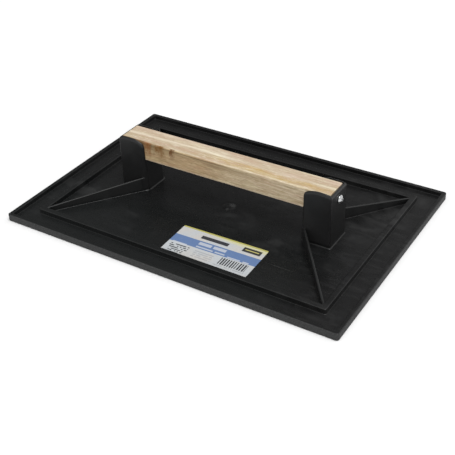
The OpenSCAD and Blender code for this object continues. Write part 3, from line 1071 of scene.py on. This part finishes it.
def print_blocks():
    """Printed paper with plain blocks only: a thin pale yellow strip, a
    white band with one dark bar, a blue band with pale bars, short grey
    lines and a field of plain stripes. Nothing on it can be read."""
    graph = material_graph("printed_label")
    paint = graph.paint
    x, y, _ = graph.split(graph.value("UVMap", output="UV", uv_map="print"))
    ink = (0.016, 0.016, 0.020)

    def within(position, low, high, soft):
        return position.step(low - soft, low + soft) * position.fall(high - soft, high + soft)

    def block(x0, x1, y0, y1, soft=0.12):
        return within(x, x0, x1, soft) * within(y, y0, y1, soft)

    def dashes(x0, x1, y0, y1, rows, per_mm, shift):
        """Rows of dashes left on or off at random, shifted row by row."""
        height = (y - y0) * (rows / (y1 - y0))
        row = height.floor()
        inside = height.fract().step(0.18, 0.30) - height.fract().step(0.66, 0.80)
        column = x * per_mm + row * shift
        cell = graph.value("CombineXYZ", {"X": column.floor(), "Y": row, "Z": 0.0})
        random = graph.value("TexWhiteNoise", {"Vector": cell}, "Value", noise_dimensions="2D")
        shown = graph.math("GREATER_THAN", random, 0.30)
        return inside * shown * block(x0, x1, y0, y1)

    # paper a little grey, with warmer patches
    warm = graph.noise(graph.coords(), scale=38, detail=2, rough=0.5, distort=0, seed=4.0)
    base = paint((0.485, 0.512, 0.530), amount=warm.step(0.40, 0.62),
                 colour=(0.520, 0.512, 0.492))
    # the strip widens into a pale wash towards the right
    wash = y + x * 0.055
    base = paint(base, amount=wash.step(19.0, 22.5) * x.step(-30, 10) * 0.75,
                 colour=(0.600, 0.570, 0.300))
    base = paint(base, amount=block(-60, 60, 23.4, 26), colour=(0.430, 0.400, 0.110))
    # blue band across the middle
    base = paint(base, amount=block(-60, 60, -4.6, 8.6), colour=(0.115, 0.190, 0.365))
    # one plain dark bar in the white band
    base = paint(base, amount=block(-23.5, 9.0, 12.6, 17.9, soft=0.3) * 0.97,
                 colour=(0.016, 0.017, 0.024))
    # dark plaque with a pale yellow line, top right
    base = paint(base, amount=block(25.5, 46.5, 13.0, 20.6, soft=0.4),
                 colour=(0.030, 0.030, 0.028))
    base = paint(base, amount=block(28.0, 44.0, 16.3, 17.6, soft=0.3),
                 colour=(0.560, 0.500, 0.160))
    pale = reduce(graph.maximum, [block(*bar) for bar in PALE_BARS])
    base = paint(base, amount=pale * 0.80, colour=(0.520, 0.550, 0.600))
    # short grey lines at the left, in two groups, and a fainter set beside
    small = graph.maximum(dashes(-47, -24, -15.5, -6.8, rows=3, per_mm=0.55, shift=3.7),
                          dashes(-45, -27, -23.2, -15.8, rows=3, per_mm=0.62, shift=5.3))
    base = paint(base, amount=small, colour=(0.028, 0.030, 0.036))
    faint = dashes(-17, 6, -20, -7.5, rows=4, per_mm=0.6, shift=2.9)
    base = paint(base, amount=faint * 0.42, colour=(0.20, 0.20, 0.23))
    # plain stripes of uneven width at the right, over a row of dashes
    phase = x * 0.36                            # stripes per millimetre
    random = graph.value("TexWhiteNoise", {"W": phase.floor()}, "Value", noise_dimensions="1D")
    width = 0.34 + random * 0.34
    stripes = graph.math("LESS_THAN", phase.fract(), width) * block(14.2, 45, -17.8, -6.2)
    base = paint(base, amount=stripes * 0.97, colour=ink)
    dots = dashes(11, 46, -21.0, -18.8, rows=1, per_mm=0.8, shift=1.7)
    base = paint(base, amount=dots * 0.45, colour=(0.16, 0.16, 0.17))
    # rubbing and dust
    place = graph.coords()
    rub = graph.noise(place, scale=170, detail=5, rough=0.65, distort=0.3, seed=2.0)
    base = paint(base, amount=rub.step(0.60, 0.74) * 0.22, colour=(0.36, 0.37, 0.38))
    mottle = graph.noise(place, scale=620, detail=3, rough=0.6, distort=0, seed=8.0)
    base = paint(base, amount=mottle.step(0.45, 0.75) * 0.14, colour=(0.22, 0.22, 0.24))
    fibres = graph.noise(place, scale=1800, detail=3, rough=0.6, distort=0, seed=1.0)
    return graph.finish("BsdfPrincipled", {
        "Base Color": base, "Roughness": 0.46 + fibres * 0.15,
        "Normal": graph.bump(fibres, strength=0.08, distance=0.0002), "IOR": 1.40})


# Each material with its detailed objects and the hidden CAD nodes that
# take the same finish.
for finish, objects, nodes in (
        (plastic(), [body], ["float_body"]),
        (timber(), [wood], ["handle_grip"]),
        (zinc(), screws, ["handle_screw_left", "handle_screw_right"]),
        (print_blocks(), [paper], ["label"])):
    for obj in objects:
        obj.data.materials.clear()
        obj.data.materials.append(finish)
    for node in nodes:
        for slot in frame["nodes"][node].material_slots:
            slot.material = finish


# ------------------------------------------------------- stage and light
def direction(azimuth, elevation):
    """Unit vector; azimuth in degrees from -Y towards +X."""
    a, e = math.radians(azimuth), math.radians(elevation)
    return Vector((math.sin(a) * math.cos(e), -math.cos(a) * math.cos(e), math.sin(e)))


def stage():
    half = 9000
    corners = [(-half, -half, 0), (half, -half, 0), (half, half, 0), (-half, half, 0)]
    floor = new_object("floor", corners, [(0, 1, 2, 3)])
    floor.location.z = -0.0002
    graph = material_graph("pale_floor")
    floor.data.materials.append(graph.finish("BsdfPrincipled", {
        "Base Color": (0.90, 0.90, 0.90), "Roughness": 0.7}))


# Room brightness by how far a direction leans towards the far left, which
# is where the plate's top mirrors the room: ramp position, grey level
ROOM_STOPS = [
    (0.0, 0.95), (0.50, 0.86), (0.72, 0.60), (0.81, 0.34),
    (0.86, 0.20), (0.92, 0.12), (0.965, 0.16), (1.0, 0.19),
]


def world():
    studio = bpy.data.worlds.new("studio")
    bpy.context.scene.world = studio
    graph = Graph(studio, "OutputWorld")
    view = graph.value("TexCoord", output="Generated")
    far_left = direction(azimuth=-125.0, elevation=22.0)
    lean = graph.value("VectorMath", {0: view, 1: far_left}, "Value", operation="DOT_PRODUCT")
    room = graph.ramp(lean, [(position, (grey,) * 3) for position, grey in ROOM_STOPS])
    # the camera itself sees a plain pale room beyond the floor
    seen = graph.value("LightPath", output="Is Camera Ray")
    colour = graph.value("MixRGB", {"Fac": seen, "Color1": room, "Color2": (1.25, 1.25, 1.25)})
    graph.finish("Background", {"Color": colour, "Strength": 0.85})


def sun(name, strength, elevation, azimuth, angle):
    light = bpy.data.lights.new(name, "SUN")
    light.energy = strength
    light.angle = math.radians(angle)
    obj = bpy.data.objects.new(name, light)
    bpy.context.scene.collection.objects.link(obj)
    obj.rotation_mode = "QUATERNION"
    obj.rotation_quaternion = (-direction(azimuth, elevation)).to_track_quat("-Z", "Y")


def camera():
    """Camera at the front right, above, rolled slightly."""
    data = bpy.data.cameras.new("camera")
    data.sensor_width = 36.0
    data.sensor_fit = "HORIZONTAL"
    data.lens = 69.8684835
    data.shift_x, data.shift_y = -0.0010989011, 0.0010989011
    data.clip_start, data.clip_end = 0.01, 60.0
    obj = bpy.data.objects.new("camera", data)
    bpy.context.scene.collection.objects.link(obj)
    roll = math.radians(-1.7546)
    back = direction(azimuth=32.623, elevation=34.233)
    right = Vector((0, 0, 1)).cross(back).normalized()
    up = back.cross(right)
    rolled_right = right * math.cos(roll) + up * math.sin(roll)
    rolled_up = -right * math.sin(roll) + up * math.cos(roll)
    matrix = Matrix((rolled_right, rolled_up, back)).transposed().to_4x4()
    matrix.translation = Vector((0.44098, -0.69188, 0.53296))
    obj.matrix_world = matrix
    bpy.context.scene.camera = obj


stage()
world()
sun("key", strength=1.75, elevation=78, azimuth=70, angle=40)
camera()
view_settings = bpy.context.scene.view_settings
view_settings.view_transform = "Standard"
view_settings.look = "None"
view_settings.exposure = 0.0
view_settings.gamma = 1.0
